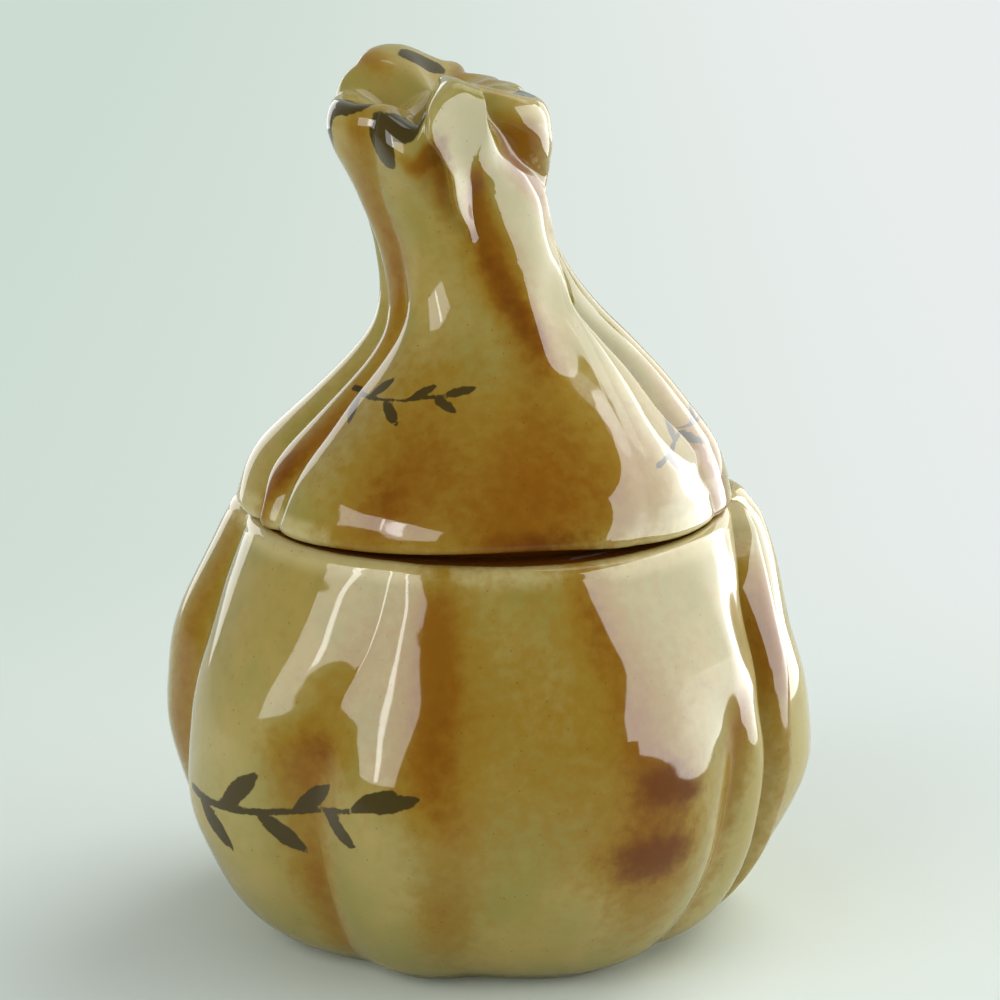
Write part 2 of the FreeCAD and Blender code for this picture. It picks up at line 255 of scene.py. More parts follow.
# ------------------------------------------------------------------ cloves
# One row for each groove, in order around the jar, with the clove that starts there.  A value is
# a plain number or a list of (height, value) stops:
#   path   the angle that the groove follows
#   soft   how wide the bottom of the groove is rounded
#   sill   how far the groove's own bottom stands out, 0 if left out
#   full   how far the clove after it stands out beyond its grooves
#   crest  where across the clove its crest lies, as a share, 0.5 if left out
#   edge   how far an edge curls over the groove: positive where the clove before the groove
#          does, negative where the clove after it does, 0 if left out
#   fall   how hollow the clove is from its curled edge to its far groove, as a power
#   fade   distance over which that curled edge fades, a plain number
#   crease depth of the crease beside that edge, a plain number
POT_CLOVES = [
    dict(path=-112, soft=2.5,
         full=[(0, 1.1), (52, 7.9), (80, 4.1), (86, 3.0)]),
    dict(path=[(0, -76), (86, -80)], soft=1.2,
         full=[(0, 3.0), (36, 7.5), (80, 2.2), (86, 1.5)],
         edge=[(0, -0.3), (30, -1.4), (70, -0.9), (86, 0)]),
    dict(path=[(0, -36), (9, -34.5), (20, -33.5), (31, -34), (41, -33.2), (54, -29.9),
               (60, -28.8), (71, -24), (86, -21.5)], soft=4.0,
         sill=[(0, 0), (25, 0.8), (44, 1.9), (54, 2.1), (64, 1.6), (74, 1.2), (86, 0.8)],
         full=[(0, 2.6), (30, 4.4), (44, 3.2), (53, 1.3), (60, 0.6), (70, 0.5), (86, 0.4)],
         edge=[(0, -0.2), (12, -0.7), (26, -0.7), (38, 0), (86, 0)]),
    dict(path=[(0, -4), (13, -3.5), (22, -3.2), (35, 0.5), (48, -3), (59, -6), (72, -7.5),
               (86, -8)], soft=[(0, 3.0), (20, 4.0), (34, 7.0), (50, 10.0), (86, 10.0)],
         sill=[(0, 0.4), (20, 1.6), (40, 2.9), (54, 3.2), (66, 2.6), (76, 1.8), (86, 1.1)],
         full=[(0, 3.0), (14, 4.6), (28, 5.4), (40, 4.2), (52, 2.6), (64, 1.7), (76, 1.2), (86, 0.7)],
         crest=[(0, 0.6), (36, 0.62), (50, 0.59), (70, 0.46), (84, 0.38)]),
    dict(path=[(0, 50), (20, 53), (42, 53), (57, 52), (86, 50)],
         soft=[(0, 2.6), (50, 2.6), (60, 8), (86, 8)],
         sill=[(0, 0.2), (28, 0.8), (46, 2.2), (56, 3.8), (66, 4.6), (78, 3.2), (86, 1.1)],
         full=[(0, 1.9), (43, 3.0), (54, 1.6), (64, 0.3), (86, 0.3)]),
    dict(path=[(0, 72), (15, 71), (32, 67.2), (61, 66.7), (72, 68), (78, 73), (83, 82), (86, 88)],
         soft=0.5,
         full=[(0, 2.3), (39, 4.9), (80, 4.5), (86, 3.0)],
         edge=[(0, 0.2), (15, 0.9), (45, 1.5), (74, 1.9), (86, 0.5)]),
    dict(path=[(0, 80), (60, 79), (86, 92)], soft=2.2, sill=[(0, 0.5), (39, 2.0), (86, 0.8)],
         full=[(0, 4.1), (31, 8.3), (60, 4.9), (80, 6.6), (86, 4.5)]),
    dict(path=120, soft=1.6,
         full=[(0, 3.0), (47, 7.1), (80, 6.8), (86, 4.5)],
         edge=[(0, 0), (50, 0.9), (86, 0.4)]),
    dict(path=162, soft=2.5,
         full=[(0, 3.0), (43, 6.4), (80, 4.5), (86, 3.0)]),
    dict(path=207, soft=2.0,
         full=[(0, 3.0), (39, 6.8), (80, 4.5), (86, 3.0)],
         edge=[(0, 0), (45, -0.9), (86, 0)]),
]
LID_CLOVES = [
    dict(path=[(86, -106), (125, -106), (165, -122)], soft=1.5,
         full=[(86, 2.5), (103, 3.6), (122, 1.8), (165, 0.8)]),
    dict(path=[(86, -68), (91, -69), (97, -75), (108, -76), (125, -76), (145, -88), (165, -100)],
         soft=1.0,
         full=[(86, 1.2), (97, 1.7), (108, 0.9), (125, 0.7), (140, 1.0), (165, 1.8)],
         edge=[(86, -0.4), (104, -0.7), (120, -0.2), (165, 0)]),
    dict(path=[(86, -59), (103, -59.5), (113, -62), (129, -52), (138, -47), (150, -43),
               (160, -37), (167, -34)],
         soft=1.6,
         full=[(86, 0.9), (96, 2.0), (110, 1.7), (122, 1.5), (138, 1.1), (150, 0.9), (165, 1.2)],
         crest=[(86, 0.3), (98, 0.34), (110, 0.5), (168, 0.5)],
         edge=[(86, -0.2), (104, -0.7), (130, -0.3), (165, -0.4)]),
    dict(path=[(86, -26), (97, -23.6), (112, -16), (128, -6), (134, 0), (139, 4), (144.5, 9),
               (147.5, 7.2), (151, 6.3), (157.5, 6), (159.3, 3.2), (162.2, -1), (165, -3), (168, -3)],
         soft=[(86, 6.0), (130, 8.0), (140, 3.0), (146, 1.0), (168, 0.6)],
         sill=[(86, 0.2), (96, 1.6), (112, 1.9), (128, 1.8), (138, 1.2), (146, 0.6), (156, 1.0),
               (168, 1.3)],
         full=[(86, 0.4), (96, 0.6), (112, 0.1), (165, 0)],
         edge=[(86, 0), (141, 0), (145, -1.4), (149, -3.5), (156, -4.4), (162, -5.0), (168, -5.0)],
         crease=0.1, fade=60, fall=[(86, 1), (146, 1), (156, 1.5), (162, 2.0), (168, 2.0)]),
    dict(path=[(86, 12), (94, 13), (106, 12), (114, 7), (122, 5), (130, 9), (138, 15.5), (146, 17),
               (153, 20), (158, 21), (160, 23), (163, 28), (168, 30)],
         soft=3.0, sill=[(86, 0.4), (96, 1.8), (112, 2.1), (124, 1.9), (136, 1.0), (142, 0.5),
                         (153, 0.6), (160, 1.9)],
         full=[(86, 0.6), (97, 0.6), (108, 0.6), (114, 1.2), (122, 2.0), (130, 1.8), (140, 1.1),
               (154, 0.6), (160, 0)],
         crest=[(86, 0.74), (98, 0.74), (106, 0.66), (112, 0.5), (118, 0.3), (128, 0.28), (140, 0.36),
                (150, 0.42), (164, 0.5)]),
    dict(path=[(86, 38), (97, 40), (110, 41), (116, 42), (128, 50), (140, 76), (150, 82), (156, 73),
               (159.4, 58), (162.8, 46), (165, 37), (168, 33)], soft=2.2,
         sill=[(86, 0.8), (92, 2.4), (98, 3.6), (106, 3.8), (114, 3.0), (122, 2.0), (132, 2.0),
               (142, 2.8), (150, 2.8), (156, 1.0), (160, -0.8), (168, -1.6)],
         full=[(86, 0.4), (103, 0.6), (122, 0.9), (140, 0.6), (149, 1.0), (156, 3.2), (162, 5.4),
               (168, 6.0)],
         crest=[(86, 0.5), (150, 0.5), (158, 0.46), (168, 0.5)]),
    dict(path=[(86, 71), (91, 71), (96, 68), (100, 72.5), (108, 69), (116, 68.5), (122, 63),
               (128, 60), (134, 74), (141, 90), (165, 104)], soft=0.5,
         sill=[(86, 0), (146, 0), (162, -1.4)],
         full=[(86, 1.4), (92, 1.9), (102, 2.7), (112, 3.8), (118, 3.2), (126, 1.6), (165, 2.2)],
         edge=[(86, 0.2), (100, 0.8), (120, 0.9), (136, 0.5), (144, 0), (165, 0)]),
    dict(path=[(86, 106), (130, 108), (165, 130)], soft=1.5,
         full=[(86, 2.5), (103, 3.2), (126, 1.8), (165, 2.2)]),
    dict(path=[(86, 145), (130, 145), (165, 158)], soft=1.5,
         full=[(86, 2.5), (103, 3.6), (126, 2.2), (165, 2.9)],
         edge=[(86, 0.4), (120, 0.5), (165, 0)]),
    dict(path=[(86, 185), (130, 185), (165, 176)], soft=1.5, sill=[(86, 0), (140, 0), (165, 2.6)],
         full=[(86, 2.5), (103, 3.2), (126, 2.2), (165, 0.9)]),
    dict(path=[(86, 222), (165, 206)], soft=1.5, sill=[(86, 0), (140, 0), (165, 2.4)],
         full=[(86, 2.5), (103, 3.6), (126, 2.2), (165, 0.2)],
         edge=[(86, -0.4), (120, -0.4), (165, 0)]),
]
CLOVE_ROUNDNESS = 2.2        # power of a clove's cross-section: 2 is a parabola, more is fuller
INNER_SHARE = 0.6            # the inside of the wall follows the cloves by this share
INNER_SOFT = 9.0             # and its grooves are this wide
COLUMNS = 400                # columns around each piece
LEAST_COLUMNS = 14           # columns on the narrowest clove
GATHER = 0.85                # how closely a clove's columns gather towards its grooves
CURL_WIDTH = 0.45            # a curled edge rises within this distance of its groove
CURL_FADE = 9.0              # and fades over this distance
CREASE_DEPTH = 0.5           # a curled edge stands over a crease this deep
CREASE_WIDTH = 1.2           # and this wide
POT_WOBBLE, LID_WOBBLE = 0.16, 0.10          # unevenness of the hand-made moulds
POT_FULL, LID_FULL = 8, 4    # a clove that stands out this far is a full crest to the glaze


def share_columns(cloves, middle):
    """Columns for each clove, in proportion to its width at a middle height."""
    starts = np.array([stops(c["path"], middle) for c in cloves])
    widths = np.diff(np.append(starts, starts[0] + 360))
    counts = np.maximum(np.round(widths / 360 * COLUMNS), LEAST_COLUMNS).astype(int)
    counts[np.argmax(counts)] += COLUMNS - counts.sum()
    return counts


def curled_edge(groove, edge, distance, share, heights):
    """Relief in millimetres of an edge that curls over a groove, at a distance d from it.

    The edge adds edge * (1 - exp(-(d / width)^2)) * exp(-d / fade) * share^fall, where the share
    runs from 1 at this groove to 0 at the clove's other one.  A crease of exp(-(d / width)^2) is
    cut beside it, on both sides of the groove.
    """
    fall = stops(groove.get("fall", 1), heights)[:, None]
    fade = share ** fall * np.exp(-distance / groove.get("fade", CURL_FADE))
    curl = (1 - np.exp(-(distance / CURL_WIDTH) ** 2)) * fade
    crease = groove.get("crease", CREASE_DEPTH) * np.exp(-(distance / CREASE_WIDTH) ** 2)
    return np.maximum(edge, 0) * curl - np.minimum(np.abs(edge), 1) * crease


def clove_surface(cloves, heights, radii, counts, inside):
    """Angle in degrees and reach in millimetres at every row and column.

    In each clove t runs from 0 to 1 between its two grooves, with columns gathered towards the
    grooves.  The distance d to a groove is softened to sqrt(d^2 + s^2) - s, the two softened
    distances give a share u, of which u or 1 - u is raised to a power that puts 0.5 at the
    crest, and the clove reaches out by full * (1 - |2u - 1|^roundness), on top of its grooves'
    own sills.  Curled edges come on top of that, on one side of a groove.
    """
    starts = np.array([stops(c["path"], heights) for c in cloves])
    ends = np.vstack([starts[1:], starts[:1] + 360])
    sills = np.array([stops(c.get("sill", 0), heights) for c in cloves])
    edges = np.array([stops(c.get("edge", 0), heights) * ~inside for c in cloves])
    softs = np.where(inside, INNER_SOFT, np.array([stops(c["soft"], heights) for c in cloves]))
    angles, reaches = [], []
    for k, clove in enumerate(cloves):
        after = (k + 1) % len(cloves)
        step = np.arange(counts[k]) / counts[k]
        t = (step - GATHER * np.sin(2 * math.pi * step) / (2 * math.pi))[None, :]
        arc = np.radians(ends[k] - starts[k])[:, None] * np.maximum(radii, 1)[:, None]
        first, last = t * arc, (1 - t) * arc
        soft_first, soft_last = softs[k][:, None], softs[after][:, None]
        near = np.sqrt(first ** 2 + soft_first ** 2) - soft_first
        far = np.sqrt(last ** 2 + soft_last ** 2) - soft_last
        u = near / (near + far)
        full = stops(clove["full"], heights)[:, None]
        crest = stops(clove.get("crest", 0.5), heights)[:, None]
        late = u ** (math.log(0.5) / np.log(np.maximum(crest, 0.5)))
        early = 1 - (1 - u) ** (math.log(0.5) / np.log(np.maximum(1 - crest, 0.5)))
        u = np.where(crest > 0.5, late, early)
        reach = full * (1 - np.abs(2 * u - 1) ** CLOVE_ROUNDNESS)
        blend = t * t * (3 - 2 * t)
        reach = reach + sills[k][:, None] * (1 - blend) + sills[after][:, None] * blend
        for groove, edge, distance, share in ((clove, -edges[k], first, 1 - t),
                                              (cloves[after], edges[after], last, t)):
            reach = reach + curled_edge(groove, edge[:, None], distance, share, heights)
        angles.append(starts[k][:, None] + (ends[k] - starts[k])[:, None] * t)
        reaches.append(reach)
    return np.hstack(angles), np.hstack(reaches)


def hand_wobble(angles, heights, size):
    """Slow unevenness of a hand-modelled mould, in millimetres.

    A sum of a few sines of angle and height, with waves 25 to 70 mm long.
    """
    a, z = np.radians(angles), heights[:, None] / 10
    wave = (np.sin(9 * a + 1.3 * z + 0.4) * np.sin(2.1 * z - 2 * a)
            + 0.8 * np.sin(14 * a - 0.9 * z + 2.0) * np.sin(1.4 * z + 3 * a + 1.0)
            + 0.6 * np.sin(5 * a + 2.6 * z + 5.1))
    return size * wave


# ------------------------------------------------------------------ stain and brushwork
FAR_FROM_INK = -9.0          # distance that counts as well outside every stroke


def turned(angles, centre):
    """Angle from the centre, wrapped to within half a turn."""
    return (angles - centre + 180) % 360 - 180


def streaks(table, angles, heights, radii):
    """Sprayed stain along paths: the strongest of strength * exp(-(distance / width)^2).

    A row is (path stops, width stops in mm, strength stops), all over the height.
    """
    stain = np.zeros_like(angles)
    for path, width, strength in table:
        distance = np.radians(turned(angles, stops(path, heights)[:, None])) * radii[:, None]
        here = stops(strength, heights)[:, None]
        here = here * np.exp(-(distance / stops(width, heights)[:, None]) ** 2)
        stain = 1 - (1 - stain) * (1 - here)
    return stain


def clouds(table, angles, heights, radii):
    """Sprayed patches: strength * exp(-(across / a)^2 - (up / b)^2) around each centre.

    A row is (angle, height, half width a in mm, half height b in mm, strength).
    """
    stain = np.zeros_like(angles)
    for angle, height, wide, tall, strength in table:
        across = np.radians(turned(angles, angle)) * radii[:, None] / wide
        up = (heights[:, None] - height) / tall
        stain = 1 - (1 - stain) * (1 - strength * np.exp(-across ** 2 - up ** 2))
    return stain


def dab(across, up, at, tilt, long, wide):
    """Signed distance into one press of a round brush, in millimetres, positive inside.

    Half width at share s of the length: wide * sqrt(s) * (1 - s^2.4) * 1.35, so that the
    stroke starts round and ends in a point.
    """
    c, s = math.cos(math.radians(tilt)), math.sin(math.radians(tilt))
    along = (across - at[0]) * c + (up - at[1]) * s
    aside = -(across - at[0]) * s + (up - at[1]) * c
    share = np.clip(along / long, 0, 1)
    half = wide * 1.35 * np.sqrt(share) * (1 - share ** 2.4)
    beyond = np.maximum(np.maximum(-along, along - long), 0)
    return half - np.abs(aside) - beyond


def stalk(across, up, start, end, sag, wide):
    """Signed distance into a thin curved stroke between two points, positive inside.

    The stroke is a parabola that sags by the given amount in its middle, and it thins from wide
    at its start to 0.55 * wide at its end.
    """
    run = np.clip((across - start[0]) / (end[0] - start[0]), 0, 1)
    line = start[1] + (end[1] - start[1]) * run - 4 * sag * run * (1 - run)
    beyond = np.maximum(np.maximum(start[0] - across, across - end[0]), 0)
    return wide * (1 - 0.45 * run) - np.abs(up - line) - beyond


def sprig(across, up, long, sag, leaves, wide):
    """A sprig of brushed leaves on a curved stalk, as a signed distance in millimetres.

    Leaves stand alternately above and below the stalk, which rises by 0.12 of its length, and
    one ends it.  Towards the tip they grow smaller and lie flatter, from 52 degrees.
    """
    rise = 0.12 * long
    best = stalk(across, up, (0, 0), (long, rise), sag, 0.34 * wide)
    for i in range(leaves):
        share = (i + 0.6) / leaves
        root = (long * share, rise * share - 4 * sag * share * (1 - share))
        side = 1 if i % 2 else -1
        size = 1.0 - 0.25 * share
        leaf = dab(across, up, root, side * 52 * (1 - 0.45 * share), 5.0 * wide * size,
                   wide * size)
        best = np.maximum(best, leaf)
    tip = dab(across, up, (long, rise), 14, 4.2 * wide, 0.8 * wide)
    return np.maximum(best, tip)


def sprigs(table, angles, heights, girth, stretch, wide):
    """Sprigs around the jar, as a signed distance in millimetres, no less than FAR_FROM_INK.

    A row is (angle, height, length, sag, leaves).  The girth is the radius at which the lengths
    are true, and stretch is how much longer the slanting wall is than its height.
    """
    best = np.full_like(angles, FAR_FROM_INK)
    for start, level, long, sag, leaves in table:
        across = np.radians(turned(angles, start)) * girth
        best = np.maximum(best, sprig(across, (heights - level) * stretch, long, sag, leaves, wide))
    return best


# ------------------------------------------------------------------ meshes
def make_mesh(name, points, fields):
    """Closed mesh from a grid of points whose first and last rows are each one point.

    Rows run along the wall from one pole to the other, columns around the jar; each face joins
    neighbours of two rows, and a fan of triangles closes each pole.  Faces point outwards.
    fields holds a number for every grid point, kept as point attributes.
    """
    rows, columns = points.shape[:2]
    inner = points[1:-1].reshape(-1, 3)
    vertices = np.vstack([points[0].mean(0)[None], inner, points[-1].mean(0)[None]])
    here = np.arange(columns)
    beside = (here + 1) % columns
    row = (1 + np.arange(rows - 3) * columns)[:, None]
    quads = np.stack([row + here, row + beside, row + columns + beside, row + columns + here],
                     -1).reshape(-1, 4)
    last_row, last = 1 + (rows - 3) * columns, len(vertices) - 1
    fans = np.vstack([np.stack([np.zeros_like(here), beside + 1, here + 1], -1),
                      np.stack([last_row + here, last_row + beside, np.full_like(here, last)], -1)])
    mesh = bpy.data.meshes.new(name)
    mesh.vertices.add(len(vertices))
    mesh.vertices.foreach_set("co", vertices.astype(np.float32).ravel())
    loops = np.concatenate([quads.ravel(), fans.ravel()])
    sizes = np.concatenate([np.full(len(quads), 4), np.full(len(fans), 3)])
    mesh.loops.add(len(loops))
    mesh.loops.foreach_set("vertex_index", loops.astype(np.int32))
    mesh.polygons.add(len(sizes))
    starts = np.concatenate(([0], np.cumsum(sizes)[:-1]))
    mesh.polygons.foreach_set("loop_start", starts.astype(np.int32))
    mesh.update(calc_edges=True)
    mesh.validate()
    mesh.shade_smooth()
    for field, values in fields.items():
        attribute = mesh.attributes.new(field, "FLOAT", "POINT")
        whole = np.concatenate(([values[0].mean()], values[1:-1].ravel(), [values[-1].mean()]))
        attribute.data.foreach_set("value", whole.astype(np.float32))
    piece = bpy.data.objects.new(name, mesh)
    bpy.context.scene.collection.objects.link(piece)
    return piece


def place_on_jar(angles, reach_from_axis, heights, axis):
    """Points in metres from angle, distance to the axis, height and the axis's place along X."""
    a = np.radians(angles)
    return np.stack([axis + reach_from_axis * np.sin(a), -reach_from_axis * np.cos(a),
                     heights], -1) * MM


def joined(*runs):
    """Runs of (radius, height) rows in one profile, without doubled points."""
    rows = np.vstack(runs)
    apart = np.hypot(*np.diff(rows, axis=0).T) > 0.02
    return rows[np.append(True, apart)]


# ------------------------------------------------------------------ the pot
POT_STREAKS = [
    # the groove at the left
    ([(0, -82), (40, -84), (86, -84)], [(0, 3), (40, 4.5), (86, 3.5)],
     [(0, 0.2), (20, 0.35), (45, 0.65), (78, 0.5), (86, 0.2)]),
    # front left groove: stain gathers on its left bank
    ([(0, -38), (9, -36), (20, -35.5), (31, -35.5), (54, -33), (71, -25), (86, -21.5)],
     [(0, 4), (20, 4), (34, 5), (52, 7), (70, 5), (86, 3)],
     [(0, 0.3), (14, 0.6), (26, 0.7), (36, 0.55), (50, 0.85), (58, 0.4), (70, 0.3), (84, 0)]),
    # front groove
    ([(0, -8), (20, -8), (35, -6), (47, -9.4), (63, -9.2), (80, -10), (86, -10)],
     [(0, 6), (30, 6), (50, 6.5), (70, 5.5), (86, 4)],
     [(0, 0), (10, 0.3), (20, 0.5), (30, 0.35), (42, 0.65), (52, 0.9), (78, 0.9), (84, 0.3)]),
    # down the front right clove
    ([(0, 33), (20, 31), (32, 29.5), (45, 31), (50, 29.5), (64, 25.5), (80, 21.5), (86, 20.5)],
     [(0, 7), (32, 9), (45, 6.5), (60, 5.5), (86, 4.5)],
     [(0, 0), (14, 0.3), (24, 0.6), (32, 0.95), (39, 0.75), (45, 1.0), (52, 0.8), (66, 0.65),
      (78, 0.7), (86, 0.3)]),
    # the groove and the curled edge at the right
    ([(0, 52), (42, 53), (57, 55), (86, 55)], [(0, 3), (50, 3.5), (86, 3)],
     [(0, 0.2), (20, 0.4), (44, 0.6), (54, 0.8), (60, 0.2), (86, 0)]),
    ([(0, 75), (32, 71), (61, 70.5), (72, 72), (86, 84)], [(0, 3), (50, 4.5), (86, 3)],
     [(0, 0.2), (30, 0.3), (48, 0.5), (58, 0.95), (72, 0.85), (80, 0.2), (86, 0)]),
]
# the grooves round the back: angle at the foot and at the rim, width and strength at the belly
POT_STREAKS += [([(0, foot), (86, rim)], [(0, 4), (50, wide), (86, 4)],
                 [(0, 0.2), (40, strong), (80, 0.5)])
                for foot, rim, wide, strong in ((120, 122, 6, 0.9), (162, 162, 7, 0.9),
                                                (207, 207, 6, 0.9), (248, 248, 6, 0.8))]
# patches, as rows of clouds()
POT_CLOUDS = [(10, 60, 34, 28, 0.36), (26, 44, 22, 18, 0.22), (-56, 62, 12, 16, 0.10),
              (150, 50, 40, 26, 0.25), (230, 50, 30, 26, 0.25)]
# painted light: the ridge and the far cloves at the right are painted paler, as lit by the light from
# the right
POT_PAINTED_LIGHT = [(53, 22, 7, 24, 0.9), (80, 36, 20, 36, 0.8)]
POT_BURNT = [(32, 45, 5.4, 5.2, 1.0), (37, 43, 4.5, 3.2, 0.8), (29, 31, 7.0, 5.0, 1.0),
             (34, 32.5, 4.6, 4.2, 0.7), (-9, 56, 3, 16, 0.35),
             (-32, 51, 3.5, 4, 0.4), (22, 77, 2.2, 6, 0.35), (70, 65, 2, 6, 0.4)]
# brushed leaves, as rows of sprigs()
POT_SPRIGS = [(-62, 37, 44, 2.5, 6), (92, 62, 34, -2, 6), (-124, 41, 26, 1.5, 5),
              (165, 36, 42, 2.5, 6)]


def pot_profile(sizes):
    """(radius, height) rows from the middle of the underside, up the outside, to the cavity's."""
    ring, foot, floor = sizes.ring_radius, sizes.foot_radius, sizes.floor_level
    rim, mouth = sizes.rim_level, sizes.mouth_radius
    foot_round, mouth_round = 0.6, 0.9
    lip = (sizes.rim_radius + sizes.lip_round, rim - sizes.lip_round)
    turn = np.radians(np.linspace(15, 90, 6))
    over = np.stack([sizes.rim_radius + sizes.lip_round * np.cos(turn),
                     lip[1] + sizes.lip_round * np.sin(turn)], 1)
    outside = spline([(foot, 0), (sizes.toe_radius, sizes.toe_level),
                      (sizes.heel_radius, sizes.heel_level),
                      (sizes.belly_radius, sizes.belly_level),
                      (sizes.shoulder_radius, sizes.shoulder_level), lip],
                     count=122, gather=0.4)
    cavity = spline([(mouth, rim - sizes.mouth_depth),
                     (sizes.belly_radius - sizes.wall, sizes.belly_level),
                     (sizes.heel_radius - sizes.wall, sizes.heel_level + sizes.wall),
                     (foot - sizes.wall, floor)], count=44)
    return joined(
        straight((0, sizes.recess), (ring - 0.8, sizes.recess), 8),
        bend_round((0, sizes.recess), (ring, sizes.recess), (ring, 0), foot_round),
        bend_round((ring, sizes.recess), (ring, 0), (foot, 0), foot_round),
        straight((ring + 1, 0), (foot - 0.4, 0), 6), outside, over,
        straight((sizes.rim_radius - 0.5, rim), (mouth + 1.2, rim), 8),
        bend_round((sizes.rim_radius, rim), (mouth, rim), (mouth, 0), mouth_round),
        straight((mouth, rim - 1.5), (mouth, rim - sizes.mouth_depth), 8), cavity,
        straight((foot - sizes.wall - 1, floor), (0, floor), 10))


def make_pot(sizes):
    """The pot: its lobed profile, with the fields that the glaze reads.

    The cloves swell the outside, but not the foot, the inner edge of the rim or the mouth, and
    by a smaller share the inside of the wall.
    """
    profile = pot_profile(sizes)
    radii, heights = profile.T
    rim, floor, mouth = sizes.rim_level, sizes.floor_level, sizes.mouth_radius
    on_rows = np.arange(len(profile))
    crown = on_rows[heights >= rim - 1e-6]
    inside = on_rows > crown[-1]
    foot_to_wall = smooth_step(radii, sizes.ring_radius + 1, sizes.foot_radius - 0.2)
    mouth_to_lip = smooth_step(radii, mouth + 1.2, sizes.rim_radius - 0.5)
    outer = np.where(np.isin(on_rows, crown), mouth_to_lip, foot_to_wall)
    hollow = smooth_step(heights, floor, floor + 14) * smooth_step(heights, rim - 9, rim - 29)
    swell = np.where(inside, INNER_SHARE * hollow, outer)
    counts = share_columns(POT_CLOVES, sizes.belly_level)
    angles, reach = clove_surface(POT_CLOVES, heights, radii, counts, inside)
    free = swell * ~inside * smooth_step(heights, 1, 8) * smooth_step(heights, rim - 1, rim - 7)
    distance = radii[:, None] + swell[:, None] * reach
    distance = distance + free[:, None] * hand_wobble(angles, heights, POT_WOBBLE)
    up = np.broadcast_to(heights[:, None], angles.shape)
    points = place_on_jar(angles, distance, up, 0.0)

    shown = (~inside * smooth_step(heights, 1.5, 5))[:, None]
    # painted shade: the flat that the lid sits on is painted dark, as the shadow in the gap under the
    # lid
    seat = smooth_step(radii, sizes.rim_radius - 0.2, sizes.rim_radius - 1.2)[:, None]
    seat = seat * np.isin(on_rows, crown)[:, None]
    stain = 1 - (1 - streaks(POT_STREAKS, angles, heights, radii)) * (
        1 - clouds(POT_CLOUDS, angles, heights, radii))
    brush = sprigs(POT_SPRIGS, angles, up, girth=62.0, stretch=1.0, wide=2.7)
    thin_lip = (smooth_step(heights, rim - 4.5, rim - 1.5) * ~inside)[:, None]
    fields = {
        # stain and burnt brown, with the painted shade of the gap added to both
        "stain": np.maximum(stain, seat) * shown,
        "burnt_and_gap_shade": np.maximum(clouds(POT_BURNT, angles, heights, radii), seat) * shown,
        "brush": np.where(shown > 0.5, brush, FAR_FROM_INK),
        "crest": np.clip(reach / POT_FULL, 0, 1) * shown,
        # thin glaze at the lip, and painted light on the far cloves at the right
        "edge": np.maximum(thin_lip, clouds(POT_PAINTED_LIGHT, angles, heights, radii) * shown),
        "bare": np.broadcast_to((~inside * (heights < 0.3))[:, None] * 1.0, angles.shape),
    }
    return make_mesh("glazed_pot", points, fields)


# ------------------------------------------------------------------ the lid
# the leaning axis: stops of (height above the rim, place along X)
STEM_LEAN = [(2.2, 0.0), (34, 1.7), (50, -3.7), (64, -8.4), (79, -10.4)]
STEM_SLANT = 12.0            # tilt of the stem's end, degrees
HIGH_SIDE = 156.0            # direction of the highest side of the stem's end, from +X
SEAT_ROWS = 7                # rows of points along the flat that rests on the rim
# how far the tips of the stem's cloves end above or below their mean: (angle, rise) stops
STEM_TIPS = [(-200, -1.6), (-190, -1.2), (-178, -0.6), (-160, 0.8), (-140, 0.2), (-122, -2.0),
             (-98, -6.4), (-60, -5.6), (-46, -4.5), (-36, -3.8), (-28, -4.3), (-20, -5.0),
             (-13, -5.5), (-8, -4.9), (-3, -1.4), (2, 1.8), (8, 3.8), (15, 4.8), (24, 4.2), (36, 3.2),
             (50, 2.8), (66, 1.8), (90, 0.6), (120, -0.2), (145, -1.3), (160, -1.6)]
LID_STREAKS = [
    ([(86, -66), (91, -66), (104, -62), (125, -62)], [(86, 3), (100, 4), (125, 3)],
     [(86, 0.7), (96, 1.0), (106, 0.8), (116, 0.1)]),
    ([(86, -30), (97, -24), (110, -22)], [(86, 8), (97, 8), (110, 6)],
     [(86, 0.5), (94, 0.75), (104, 0.6), (116, 0.1)]),
    # down the front of the stem, between the two legs of its right clove
    ([(86, 6), (94, 9), (112, 14), (122, 19), (133, 17), (142, 21), (151, 22), (160, 25)],
     [(86, 12), (96, 11), (110, 8), (122, 4.5), (140, 4.4), (151, 2.6), (160, 1.6)],
     [(86, 0.95), (98, 0.85), (108, 0.6), (116, 0.5), (124, 0.9), (140, 1.0), (156, 1.0), (161, 0)]),
    # on the bank that the right clove curls over
    ([(136, -2), (146, 1), (157, 0.5), (160, -4), (164, -9)],
     [(136, 2), (151, 2.2), (159, 2.6), (164, 3)],
     [(136, 0), (146, 0.3), (155, 0.85), (160, 0.8), (163, 0.95), (166, 0)]),
    # right bank of the stem's end
    ([(140, 80), (150, 74), (158, 60), (168, 50)], [(140, 4), (158, 5), (168, 5)],
     [(136, 0), (146, 0.5), (156, 0.95), (164, 0.9), (168, 0.1)]),
    ([(86, 76), (98, 76), (112, 78), (135, 84)], [(86, 5), (98, 5), (135, 3)],
     [(86, 0.8), (96, 0.9), (108, 0.3), (135, 0.1)]),
    # beside the left groove of the stem
    ([(113, -66), (129, -58), (138, -53), (150, -52), (160, -46), (167, -44)],
     [(113, 3), (129, 4), (150, 3.5), (167, 3)],
     [(113, 0.1), (122, 0.5), (134, 0.75), (150, 0.6), (160, 0.55), (166, 0.7), (170, 0.2)]),
]
